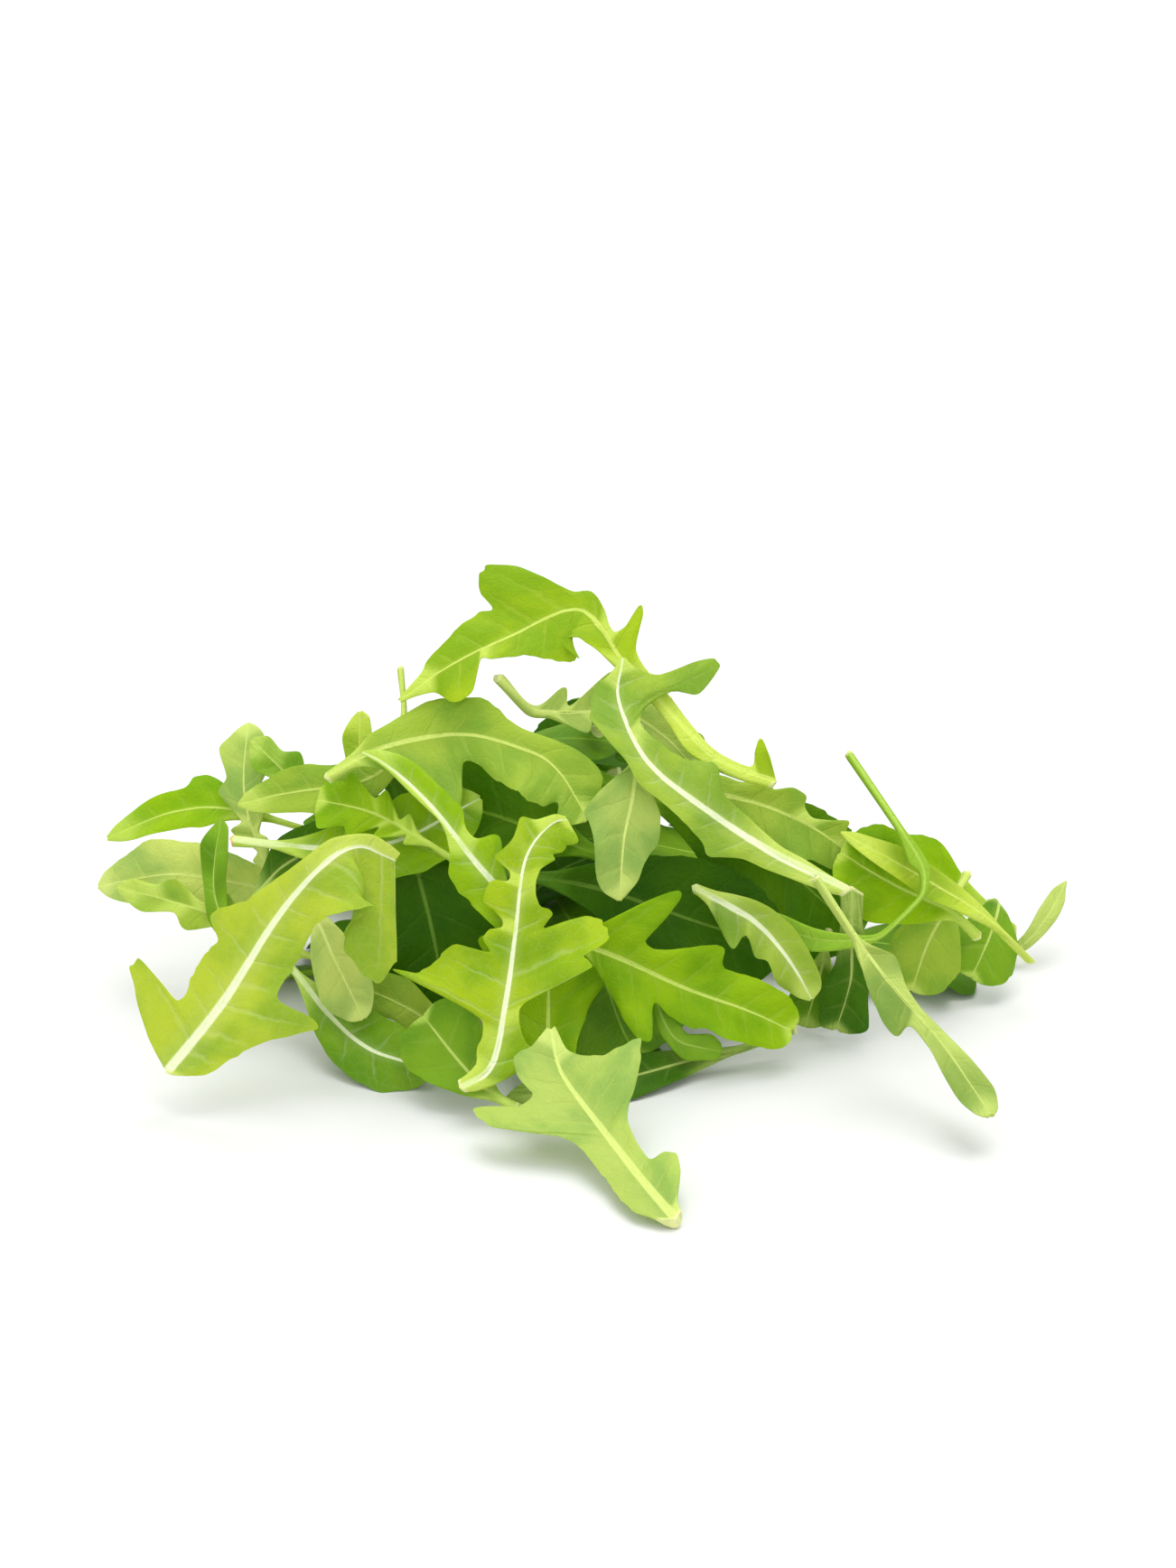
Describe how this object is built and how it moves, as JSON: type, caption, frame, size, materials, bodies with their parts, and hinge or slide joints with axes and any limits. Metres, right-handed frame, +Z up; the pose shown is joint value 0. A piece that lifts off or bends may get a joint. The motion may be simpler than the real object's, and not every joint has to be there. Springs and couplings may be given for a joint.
{
  "type": "wild arugula bunch",
  "caption": "Loose heap of picked wild rocket leaves with lobed blades, pale midribs and cut stems, lying on a table.",
  "frame": {"origin": "on the table, in the middle of the heap's outline seen from above", "axes": "+Z up, +X to the right of the picture, -Y towards the one who looks"},
  "size_m": [0.2408, 0.227, 0.1054],
  "materials": {
    "bright": "satin, light yellow-green",
    "fresh": "satin, fresh green",
    "pale": "satin, pale underside green",
    "teal": "satin, cool mid green",
    "dark": "satin, deep shaded green"
  },
  "bodies": {
    "root": {"leaf_resting_1": "dark", "leaf_resting_2": "dark", "leaf_core_1": "teal", "leaf_core_2": "dark", "leaf_core_3": "teal", "leaf_core_4": "dark", "leaf_back_1": "bright", "leaf_back_2": "teal", "leaf_back_3": "fresh", "leaf_back_4": "bright", "leaf_back_5": "teal", "leaf_back_6": "fresh", "leaf_back_7": "bright", "leaf_back_8": "teal", "leaf_back_9": "fresh", "leaf_back_10": "bright", "leaf_left_upright": "fresh", "leaf_under_arch": "teal", "leaf_left_bright": "bright", "leaf_left_pale": "pale", "leaf_left_low": "fresh", "leaf_left_grey": "pale", "leaf_left_point": "bright", "leaf_behind_stem": "teal", "leaf_far_right": "teal", "leaf_right_hang_b": "fresh", "leaf_right_hang_a": "teal", "leaf_dark_middle": "dark", "leaf_dark_left": "dark", "leaf_dark_right": "dark", "leaf_dark_low": "dark", "leaf_right_under": "bright", "leaf_teal_upright": "teal", "leaf_cut_stem": "pale", "leaf_pale_stem": "pale", "leaf_left_oval": "fresh", "leaf_left_curl": "fresh", "leaf_right_teal": "teal", "leaf_mid_left": "fresh", "leaf_right_light": "fresh", "leaf_stem_right": "bright", "leaf_right_lobe": "bright", "leaf_hook": "fresh", "leaf_hanging": "pale", "leaf_arch": "bright", "leaf_diagonal": "fresh", "leaf_white_rib": "fresh", "leaf_strip_left": "fresh", "leaf_behind_front": "pale", "leaf_floor_dark": "dark", "leaf_right_low": "fresh", "leaf_folded": "fresh", "leaf_blue_green": "teal", "leaf_light_floor": "pale", "leaf_small_curl": "bright", "leaf_bright": "bright", "leaf_centre": "fresh", "leaf_muted_oval": "fresh", "leaf_front": "pale", "leaf_left_front": "fresh"}
  },
  "joints": []
}
